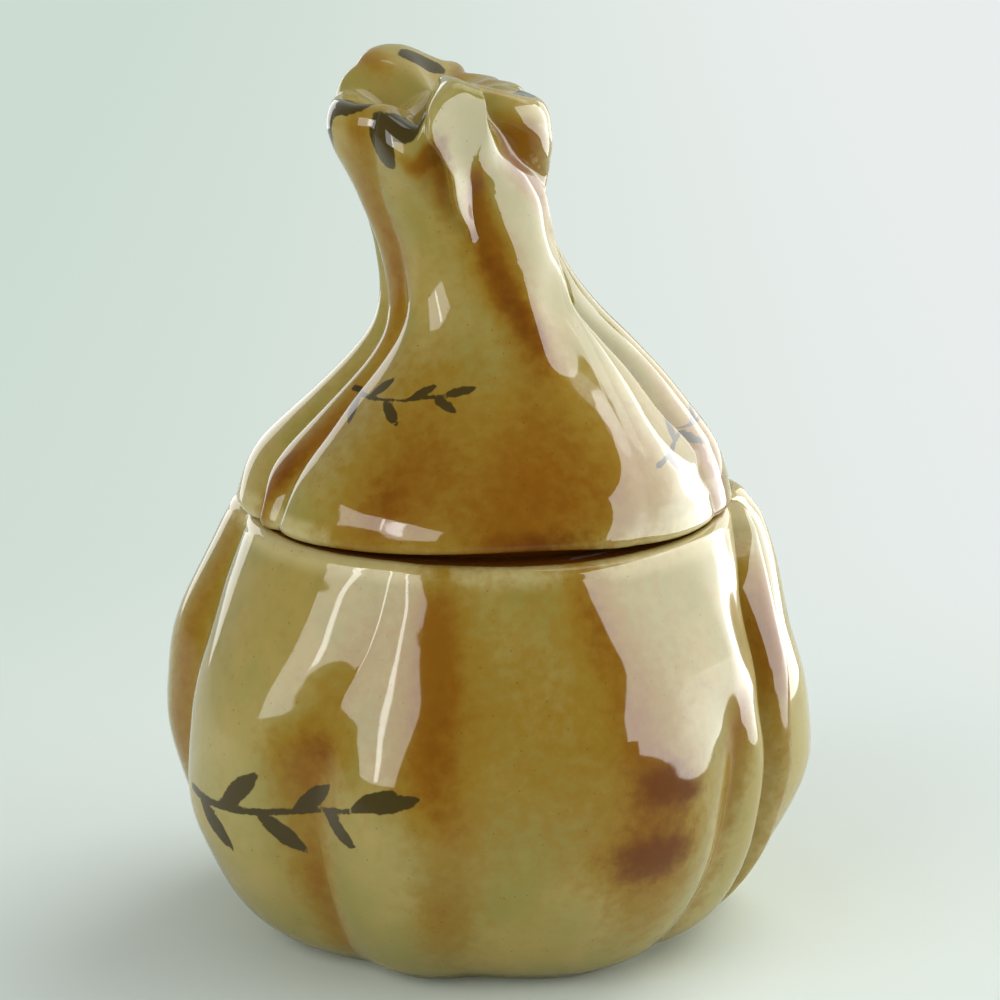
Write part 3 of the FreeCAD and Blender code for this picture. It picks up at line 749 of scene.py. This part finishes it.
# the grooves round the back: path, and where the stain ends on the stem
LID_STREAKS += [(groove, [(86, 5), (165, 3)], [(86, 0.8), (104, 0.7), (125, 0.4), end])
                for groove, end in (([(86, 106), (130, 108), (165, 130)], (165, 0.6)),
                                    ([(86, 145), (165, 158)], (165, 0.6)),
                                    ([(86, 185), (165, 176)], (150, 0)),
                                    ([(86, 222), (165, 206)], (150, 0)),
                                    ([(86, 254), (165, 232)], (165, 0.6)))]
LID_CLOUDS = [(-4, 99, 30, 15, 0.62), (30, 98, 14, 12, 0.45), (-30, 116, 14, 8, 0.25),
              (180, 100, 60, 12, 0.3)]
LID_BURNT = [(12, 88, 12, 3.5, 0.75), (-26, 97, 5, 5, 0.4), (20, 126, 3, 7, 0.6),
             (17, 138, 3, 10, 0.55), (22, 154, 2, 5, 0.5), (-64, 97, 3, 5, 0.6),
             (2, 161, 2.4, 4, 0.7), (12, 98, 9, 6, 0.3)]
# dark dabs on the tips of the stem's cloves: angle, radius, height, then half sizes around the
# stem, along its radius and up, and a tilt
STEM_DABS = [(-20, 18.5, 168.8, 5.8, 5.0, 2.1, 10), (-28, 20, 164.4, 3.2, 6.0, 5.8, 6),
             (-57, 17.5, 170.0, 5.4, 5.0, 2.6, 14), (-76, 21, 165.0, 3.8, 6.0, 6.0, 0),
             (190, 13.5, 169.6, 4.8, 3.0, 3.2, 0), (-122, 21, 168.5, 5.0, 3.0, 3.4, 0),
             (79, 18.0, 171.2, 6.0, 2.6, 2.2, 0), (-155, 22, 165, 4.4, 4.0, 4.0, 0),
             (140, 21, 163, 3.6, 4.0, 4.6, 0)]
LID_SPRIGS = [(-66, 112, 27, 1.2, 5), (46, 101, 26, -1.5, 5), (130, 108, 26, 1.2, 5),
              (205, 108, 26, 1.2, 5)]


def lid_brushwork(angles, heights, reach):
    """Brushed sprigs on the slope and dabs on the stem's tips, as a signed distance.

    A dab is the inside of an ellipsoid: 1 - sqrt(sum of squared shares of its half sizes).
    """
    best = sprigs(LID_SPRIGS, angles, heights, girth=33.0, stretch=1.3, wide=1.7)
    for angle, radius, height, around, along, tall, tilt in STEM_DABS:
        turn = np.radians(turned(angles, angle))
        across, out = reach * np.sin(turn), reach * np.cos(turn) - radius
        up = heights - height
        c, s = math.cos(math.radians(tilt)), math.sin(math.radians(tilt))
        across, up = across * c + up * s, -across * s + up * c
        share = np.sqrt((across / around) ** 2 + (out / along) ** 2 + (up / tall) ** 2)
        best = np.maximum(best, (1 - share) * min(around, tall))
    return best


def lid_profile(sizes):
    """(radius, height) rows from the top of the hollow down the inside and up the outside.

    They go round the collar, along the flat seat and over the brim, and end in the dish.
    """
    bore, collar = sizes.collar_radius - sizes.collar_wall, sizes.collar_radius
    bottom, wall = RIM - sizes.collar_depth, sizes.wall
    brim, eave = RIM + sizes.brim_rise, RIM + sizes.eave_rise
    hip, waist = RIM + sizes.hip_rise, RIM + sizes.waist_rise
    neck, stem, end = RIM + sizes.neck_rise, RIM + sizes.stem_rise, sizes.stem_radius
    top, collar_round = neck + sizes.hollow_rise, 0.8
    slope = spline([(sizes.brim_radius, brim), (sizes.eave_radius, eave), (sizes.hip_radius, hip),
                    (sizes.waist_radius, waist), (sizes.neck_radius, neck), (end, stem),
                    (end, stem + 5.6), (end - 1.6, stem + 8.8), (end - 4.4, stem + 9.3),
                    (end - 9, stem + 8.0), (5, stem + 7.0), (0, stem + 6.8)], count=170)
    hollow = spline([(0, top), (5, top - 1.2), (sizes.neck_radius - wall, neck),
                     (sizes.waist_radius - wall, waist), (sizes.hip_radius - wall, hip),
                     (bore, RIM + 1)], count=28)
    turn = np.radians(np.linspace(90, 0, 6))
    edge = np.stack([sizes.seat_radius + (sizes.brim_radius - sizes.seat_radius) * np.cos(turn),
                     brim - sizes.brim_rise * np.sin(turn)], 1)
    return joined(
        hollow, straight((bore, RIM), (bore, bottom + 1), 5),
        bend_round((bore, RIM), (bore, bottom), (collar, bottom), collar_round),
        bend_round((bore, bottom), (collar, bottom), (collar, RIM), collar_round),
        straight((collar, bottom + 1), (collar, RIM - 0.6), 5),
        bend_round((collar, bottom), (collar, RIM), (sizes.seat_radius, RIM), 0.5),
        straight((collar + 0.6, RIM), (sizes.seat_radius - 0.4, RIM), SEAT_ROWS), edge, slope)


def make_lid(sizes):
    """The lid: its lobed profile, bent along the leaning axis, with the fields the glaze reads.

    The tips of the stem's cloves are raised or lowered one by one, the stem's end is slanted,
    and the brim is warped a little off the rim at the front.
    """
    profile = lid_profile(sizes)
    radii, heights = profile.T
    stem_level, collar = RIM + sizes.stem_rise, sizes.collar_radius
    hollow_top = RIM + sizes.neck_rise + sizes.hollow_rise
    on_rows = np.arange(len(profile))
    seat_row = np.argmin(np.hypot(radii - sizes.seat_radius, heights - RIM))
    outside = on_rows >= seat_row
    inside = on_rows < seat_row - SEAT_ROWS - 1
    outer = np.where(outside, 1.0, smooth_step(radii, collar + 1.5, sizes.seat_radius))
    tip_rows = heights > stem_level
    outer = np.where(tip_rows, outer * smooth_step(radii, 7, sizes.stem_radius - 3), outer)
    deep = smooth_step(heights, RIM + 1, RIM + 12) * smooth_step(heights, hollow_top, hollow_top - 18)
    swell = np.where(inside, INNER_SHARE * deep * (heights > RIM), outer)
    counts = share_columns(LID_CLOVES, RIM + sizes.hip_rise)
    lobe_heights = np.minimum(heights, stem_level + 6)
    angles, reach = clove_surface(LID_CLOVES, lobe_heights, radii, counts, inside)
    distance = radii[:, None] + swell[:, None] * reach
    free = (~inside * smooth_step(heights, RIM + 3, RIM + 8))[:, None] * swell[:, None]
    distance = distance + free * hand_wobble(angles, heights, LID_WOBBLE)

    # clove tips end at their own heights, and the dish lies inside their ring
    ring = stops(STEM_TIPS, angles - 360 * (angles > 160))
    tip = smooth_step(heights[:, None], stem_level - 4 + 1.6 * np.minimum(ring, 0), stem_level + 4)
    tip = tip * ~inside[:, None]
    up = heights[:, None] + tip * ring * np.where(tip_rows, smooth_step(radii, 0, 9), 1)[:, None]
    # a slight warp lifts the brim off the rim, most of all at the front
    lift = sizes.front_gap * np.exp(-(turned(angles, 8) / 34) ** 2) + 0.25
    loose = smooth_step(radii, collar - 0.1, collar + 0.9)[:, None]
    low = smooth_step(heights, RIM + sizes.eave_rise, RIM + sizes.brim_rise) * ~inside
    up = up + lift * loose * low[:, None]

    axis = stops(STEM_LEAN, np.clip(heights - RIM, 0, None))[:, None]
    points = place_on_jar(angles, distance, up, axis)
    grown = stops([(sizes.neck_rise, 0), (sizes.stem_rise, 1)], heights - RIM)[:, None]
    side = math.radians(HIGH_SIDE)
    along = (points[..., 0] - axis * MM) * math.cos(side) + points[..., 1] * math.sin(side)
    points[..., 2] += grown * math.tan(math.radians(STEM_SLANT)) * along

    shown = outside[:, None] * 1.0
    # painted shade: the flat that rests on the rim and the top of the collar are painted dark, as the
    # shadow in the gap under the lid
    seat = (~outside & (radii > collar - 0.1)) * smooth_step(heights, RIM - 5, RIM - 2)
    stain = 1 - (1 - streaks(LID_STREAKS, angles, heights, radii)) * (
        1 - clouds(LID_CLOUDS, angles, heights, radii))
    on_tips = np.where(tip_rows, smooth_step(radii, 6, 16), 1.0)[:, None]
    brush = lid_brushwork(angles, heights[:, None], distance)
    thin_brim = (smooth_step(heights, RIM + 5.5, RIM + 3.5) * outside)[:, None]
    fields = {
        # stain and burnt brown, with the painted shade of the gap added to both
        "stain": np.maximum(stain * shown * on_tips, seat[:, None]),
        "burnt_and_gap_shade": np.maximum(clouds(LID_BURNT, angles, heights, radii) * shown, seat[:, None]),
        "brush": np.where(shown > 0.5, brush, FAR_FROM_INK),
        "crest": np.clip(reach / LID_FULL, 0, 1) * shown,
        "edge": np.broadcast_to(thin_brim, angles.shape),
        "bare": np.zeros_like(angles),
    }
    return make_mesh("glazed_lid", points, fields)


# ------------------------------------------------------------------ materials
# how a Map Range node runs between its two ends
SMOOTH, EVEN = {"interpolation_type": "SMOOTHSTEP"}, {"interpolation_type": "LINEAR"}
GLAZE_IOR = 1.52
CLAY_ROUGHNESS = 0.85
RIPPLE_HEIGHT, PEEL_HEIGHT = 0.10, 0.006     # of the glaze's ripples and orange peel


def blank_tree(owner):
    """The emptied node tree of a material or world."""
    owner.use_nodes = True
    owner.node_tree.nodes.clear()
    return owner.node_tree


def node(tree, kind, settings=None, out=0, **inputs):
    """Adds a shader node, sets its properties, sets or links its inputs, and gives an output.

    An input is written as its name, or as its number behind an underscore.
    """
    made = tree.nodes.new("ShaderNode" + kind)
    for key, value in (settings or {}).items():
        setattr(made, key, value)
    for key, value in inputs.items():
        socket = made.inputs[int(key[1:]) if key[0] == "_" else key.replace("_", " ")]
        if isinstance(value, bpy.types.NodeSocket):
            tree.links.new(value, socket)
        else:
            socket.default_value = value
    return made.outputs[out] if made.outputs else None


def glaze(name, finish):
    """Slip-cast earthenware under a clear honey glaze, fired to a full gloss.

    Brown stain is sprayed into the grooves and dark strokes are brushed on under the glaze, so
    the gloss runs on unbroken over both.  The glaze thins to a paler tone over crests and edges
    and pools greener in hollows; fine iron specks and a slow mottle show through it.  Painted
    light makes the far cloves at the pot's right paler, and painted shade darkens the flat
    where the lid meets the rim.
    and pools greener in hollows; fine iron specks and a slow mottle show through it.
    """
    material = bpy.data.materials.new(name)
    tree = blank_tree(material)
    place = node(tree, "TexCoord", out="Object")
    # patches of mottle 14 mm across, a fine mist, ripples 9 mm long and a faint orange peel
    patterns = [node(tree, "TexNoise", None, "Fac", Vector=place, Scale=1 / (size * MM),
                     Detail=detail, Roughness=rough)
                for size, detail, rough in ((14, 3, 0.5), (2.6, 4, 0.6), (9, 1, 0.5), (1.6, 1, 0.5))]
    mottle, mist, ripple, peel = patterns
    # iron specks in the clay, one in every 2.4 mm
    specks = node(tree, "TexVoronoi", {"feature": "F1"}, "Distance", Vector=place,
                  Scale=1 / (2.4 * MM))
    crest, edge, bare = [node(tree, "Attribute", {"attribute_name": field}, "Fac")
                         for field in ("crest", "edge", "bare")]
    # the edges of sprayed stain break up into a fine mist, and those of strokes where the
    # bristles ran dry: field, span of the mist that counts, and how far it moves the edge
    ragged = {}
    for field, low, high, far in (("stain", 0.2, 0.8, 0.13), ("burnt_and_gap_shade", 0.2, 0.8, 0.16),
                                  ("brush", 0.25, 0.75, 0.22)):
        moved = node(tree, "MapRange", SMOOTH, Value=mist, From_Min=low, From_Max=high,
                     To_Min=-far, To_Max=far)
        drawn = node(tree, "Attribute", {"attribute_name": field}, "Fac")
        ragged[field] = node(tree, "Math", {"operation": "ADD"}, _0=drawn, _1=moved)
    # over the crests the glaze is thin in patches
    raised = node(tree, "MapRange", SMOOTH, Value=crest, From_Min=0.35)
    patchy = node(tree, "MapRange", SMOOTH, Value=mist, From_Min=0.2, From_Max=0.75, To_Min=0.5,
                  To_Max=0.9)
    thin = node(tree, "Math", {"operation": "MULTIPLY"}, _0=raised, _1=patchy)

    # layers over the green: mask, how the layer rises with it, its values where the layer
    # starts and is full, cover, colour
    layers = ((mottle, SMOOTH, 0.35, 0.68, 1.0, finish.body),
              (thin, EVEN, 0.0, 1.0, 0.55, finish.pale),
              # thin glaze at the edges, and painted light on the pot's far cloves at the right
              (edge, EVEN, 0.0, 1.0, 0.75, finish.pale),
              (ragged["stain"], SMOOTH, 0.02, 0.5, 1.0, finish.golden),
              (ragged["stain"], SMOOTH, 0.4, 0.95, 1.0, finish.brown),
              # densest stain, and the painted shade in the gap under the lid
              (ragged["burnt_and_gap_shade"], SMOOTH, 0.1, 0.95, 1.0, finish.burnt_and_gap_shade),
              (specks, SMOOTH, 0.10, 0.06, 0.45, finish.burnt_and_gap_shade),
              (ragged["brush"], SMOOTH, -0.12, 0.16, 0.96, finish.ink),
              (bare, EVEN, 0.0, 1.0, 1.0, finish.clay))
    base = finish.green
    for mask, rise, start, full, cover, paint in layers:
        amount = node(tree, "MapRange", rise, Value=mask, From_Min=start, From_Max=full,
                      To_Max=cover)
        base = node(tree, "Mix", {"data_type": "RGBA"}, 2, _0=amount, _6=base, _7=paint)
    roughness = node(tree, "MapRange", EVEN, Value=bare, To_Min=finish.gloss,
                     To_Max=CLAY_ROUGHNESS)
    slow = node(tree, "Math", {"operation": "MULTIPLY"}, _0=ripple, _1=RIPPLE_HEIGHT * MM)
    height = node(tree, "Math", {"operation": "MULTIPLY_ADD"}, _0=peel, _1=PEEL_HEIGHT * MM, _2=slow)
    bump = node(tree, "Bump", None, "Normal", Strength=0.6, Distance=1.0, Height=height)
    shader = node(tree, "BsdfPrincipled", Base_Color=base, Roughness=roughness, IOR=GLAZE_IOR,
                  Normal=bump)
    node(tree, "OutputMaterial", Surface=shader)
    return material


def backdrop_paint(stage):
    """Matt pale sweep that holds the jar's shadow.

    In the gloss it darkens towards the dim room in front of the jar.  Away from the jar the
    camera sees a pale tone with painted light and shade: darker and greener at the left,
    lighter at the right.
    """
    material = bpy.data.materials.new("backdrop_paint")
    tree = blank_tree(material)
    place = node(tree, "TexCoord", out="Object")
    ahead = node(tree, "SeparateXYZ", out="Y", Vector=place)
    front = node(tree, "MapRange", SMOOTH, Value=ahead, From_Min=0.1, From_Max=-0.3, To_Max=0.94)
    gloss = node(tree, "LightPath", out="Is Glossy Ray")
    dim = node(tree, "Math", {"operation": "MULTIPLY"}, _0=gloss, _1=front)
    matt = node(tree, "BsdfDiffuse", Color=stage.backdrop)
    dark = node(tree, "BsdfDiffuse", Color=(0, 0, 0, 1))
    ground = node(tree, "MixShader", _0=dim, _1=matt, _2=dark)

    # painted light and shade: the tone in view runs from a darker left to a lighter right
    side = node(tree, "SeparateXYZ", out="X", Vector=place)
    across = node(tree, "MapRange", SMOOTH, Value=side, From_Min=-0.2, From_Max=0.2)
    tone = node(tree, "Mix", {"data_type": "RGBA"}, 2, _0=across, _6=stage.shaded_left_tone,
                _7=stage.lit_right_tone)
    wall = node(tree, "Emission", Color=tone)
    reach = node(tree, "VectorMath", {"operation": "LENGTH"}, "Value", _0=place)
    away = node(tree, "MapRange", SMOOTH, Value=reach, From_Min=0.03, From_Max=0.30)
    eye = node(tree, "LightPath", out="Is Camera Ray")
    seen = node(tree, "Math", {"operation": "MULTIPLY"}, _0=eye, _1=away)
    lit = node(tree, "MixShader", _0=seen, _1=ground, _2=wall)
    node(tree, "OutputMaterial", Surface=lit)
    return material


# ------------------------------------------------------------------ the stage
LENS = 145.6                 # focal length in mm, on a sensor 36 mm wide
CAMERA_AIM = (0.0026, 0.0, 0.086)
CAMERA_AWAY, CAMERA_DROP = 0.8, 15.5         # distance, and degrees that it looks down
FLOOR_REACH = 6.0


def round_about(target, azimuth, elevation, distance):
    """The place at an azimuth from the front, an elevation and a distance from a target."""
    a, e = math.radians(azimuth), math.radians(elevation)
    return (target[0] + distance * math.sin(a) * math.cos(e),
            target[1] - distance * math.cos(a) * math.cos(e), target[2] + distance * math.sin(e))


def aim(thing, place, target):
    """Puts an object at a place with its -Z axis towards the target."""
    thing.location = place
    thing.rotation_euler = (Vector(target) - Vector(place)).to_track_quat("-Z", "Y").to_euler()


def area_light(name, azimuth, elevation, distance, width, height, radiance, target, tint, mirrored):
    """Rectangular light at an azimuth, an elevation and a distance from the target that it faces.

    Its power is radiance * area * pi, so that radiance is what a mirror would show.  A mirrored
    light is seen in the gloss alone, and any other light shines and isn't mirrored.
    """
    light = bpy.data.lights.new(name, "AREA")
    light.shape = "RECTANGLE"
    light.size, light.size_y = width, height
    light.energy = radiance * width * height * math.pi
    light.color = tint
    thing = bpy.data.objects.new(name, light)
    bpy.context.scene.collection.objects.link(thing)
    aim(thing, round_about(target, azimuth, elevation, distance), target)
    thing.visible_camera = False
    thing.visible_glossy = mirrored
    thing.visible_diffuse = not mirrored


def make_floor(stage):
    """The wide flat sweep under the jar."""
    mesh = bpy.data.meshes.new("floor")
    corners = [(x * FLOOR_REACH, y * FLOOR_REACH, 0) for x, y in ((-1, -1), (1, -1), (1, 1), (-1, 1))]
    mesh.from_pydata(corners, [], [(0, 1, 2, 3)])
    mesh.materials.append(backdrop_paint(stage))
    floor = bpy.data.objects.new("floor", mesh)
    bpy.context.scene.collection.objects.link(floor)


def make_lights(stage):
    """Panels that the glaze mirrors, and broad soft lamps that light the jar and the sweep."""
    centre, slope = (0.0, 0.0, RIM * MM), (0.0, 0.0, 0.165)
    wall, foot = (0.0, -0.0175, 0.1725), (0.0, 0.0, 0.0285)
    white, daylight = (1, 1, 1), (0.95, 0.98, 1.0)
    window_at = (-47.5, 16.2)
    # a soft lamp's level is radiance * area / distance^2 / pi
    away, wide = 1.5, 1.2
    even = math.pi * away ** 2 / wide ** 2
    # azimuth, elevation, distance, width, height, radiance, target, tint, mirrored
    lamps = {
        "window": (*window_at, 1.0, 0.73, 0.37, stage.window, centre, white, True),
        "window_gap": (*window_at, 0.98, 0.07, 0.31, 2 * stage.window, centre, white, True),
        "panel": (90, 0, 0.2, 0.395, 0.255, stage.panel, wall, daylight, True),
        "panel_foot": (90, 0, 0.2, 0.36, 0.033, stage.panel, foot, daylight, True),
        "loft": (124, 56, 0.5, 0.34, 0.38, stage.loft, slope, daylight, True),
        "far_right": (142, 8, 0.7, 0.45, 0.38, stage.far_right, centre, white, True),
        "far_left": (-150, 8, 0.7, 0.4, 0.38, stage.far_left, centre, white, True),
        "key": (130, 44, away, wide, wide, stage.key * even, centre, white, False),
        "sweep": (140, 38, 2.4, 1.6, 1.6, stage.sweep, (0.3, 0.9, 0.0), white, False),
        "left": (-45, 24, away, wide, wide, stage.left * even, centre, white, False),
        "right": (84, 6, away, wide, wide, stage.right * even, centre, white, False),
    }
    for name, values in lamps.items():
        area_light(name, *values)


def make_world(stage):
    """Even light from all sides, and what the camera and the gloss see beyond the sweep."""
    world = bpy.data.worlds.new("world")
    bpy.context.scene.world = world
    tree = blank_tree(world)
    fill = node(tree, "Background", Color=(1, 1, 1, 1), Strength=stage.fill)
    # the gloss mirrors the backdrop behind the jar and a dim room in front of it
    way = node(tree, "TexCoord", out="Generated")
    ahead = node(tree, "SeparateXYZ", out="Y", Vector=way)
    room = node(tree, "MapRange", SMOOTH, Value=ahead, From_Min=-0.1, To_Min=0.03, To_Max=0.7)
    mirror = node(tree, "Background", Color=stage.backdrop, Strength=room)
    gloss = node(tree, "LightPath", out="Is Glossy Ray")
    around = node(tree, "MixShader", _0=gloss, _1=fill, _2=mirror)
    view = node(tree, "Background", Color=stage.backdrop, Strength=1.0)
    eye = node(tree, "LightPath", out="Is Camera Ray")
    through = node(tree, "LightPath", out="Is Transmission Ray")
    seen = node(tree, "Math", {"operation": "MAXIMUM"}, _0=eye, _1=through)
    both = node(tree, "MixShader", _0=seen, _1=around, _2=view)
    node(tree, "OutputWorld", Surface=both)


def make_camera():
    """The camera, in front of the jar and a little above it."""
    camera = bpy.data.objects.new("camera", bpy.data.cameras.new("camera"))
    bpy.context.scene.collection.objects.link(camera)
    camera.data.sensor_width = 36.0
    camera.data.lens = LENS
    aim(camera, round_about(CAMERA_AIM, 0, CAMERA_DROP, CAMERA_AWAY), CAMERA_AIM)
    bpy.context.scene.camera = camera


def make_stage(stage):
    """Floor, lights, world and camera."""
    make_floor(stage)
    make_lights(stage)
    make_world(stage)
    make_camera()
    bpy.context.scene.view_settings.view_transform = "Standard"


# ------------------------------------------------------------------ operators and panel
class KEEPER_OT_pot(bpy.types.Operator):
    """Build the glazed pot in place of its plain solid"""
    bl_idname = "keeper.make_pot"
    bl_label = "Make the pot"

    def execute(self, context):
        piece = make_pot(in_mm(context.scene.keeper_pot))
        piece.data.materials.append(glaze("pot_glaze", context.scene.keeper_glaze))
        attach(piece, "pot")
        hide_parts("pot")
        return {"FINISHED"}


class KEEPER_OT_lid(bpy.types.Operator):
    """Build the glazed lid in place of its plain solid"""
    bl_idname = "keeper.make_lid"
    bl_label = "Make the lid"

    def execute(self, context):
        piece = make_lid(in_mm(context.scene.keeper_lid))
        piece.data.materials.append(glaze("lid_glaze", context.scene.keeper_glaze))
        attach(piece, "lid")
        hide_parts("lid")
        return {"FINISHED"}


class KEEPER_OT_stage(bpy.types.Operator):
    """Set the floor, lights, world and camera"""
    bl_idname = "keeper.make_stage"
    bl_label = "Set the stage"

    def execute(self, context):
        make_stage(context.scene.keeper_stage)
        return {"FINISHED"}


class KEEPER_PT_panel(bpy.types.Panel):
    """Sizes, finish and operators of the garlic keeper"""
    bl_idname = "KEEPER_PT_panel"
    bl_label = "Garlic keeper"
    bl_space_type = "VIEW_3D"
    bl_region_type = "UI"
    bl_category = "Garlic keeper"

    def draw(self, context):
        for operator in OPERATORS:
            self.layout.operator(operator.bl_idname)
        for name, group in GROUPS.items():
            box = self.layout.box()
            for value in group.__annotations__:
                box.prop(getattr(context.scene, name), value)


OPERATORS = (KEEPER_OT_pot, KEEPER_OT_lid, KEEPER_OT_stage)
CLASSES = (*GROUPS.values(), *OPERATORS, KEEPER_PT_panel)


def register():
    for kind in CLASSES:
        bpy.utils.register_class(kind)
    for name, group in GROUPS.items():
        setattr(bpy.types.Scene, name, bpy.props.PointerProperty(type=group))


def unregister():
    for name in GROUPS:
        delattr(bpy.types.Scene, name)
    for kind in reversed(CLASSES):
        bpy.utils.unregister_class(kind)


def main():
    """Registers the add-on and builds everything."""
    register()
    bpy.ops.keeper.make_pot()
    bpy.ops.keeper.make_lid()
    bpy.ops.keeper.make_stage()
    bpy.context.view_layer.update()


if __name__ == "__main__":
    main()
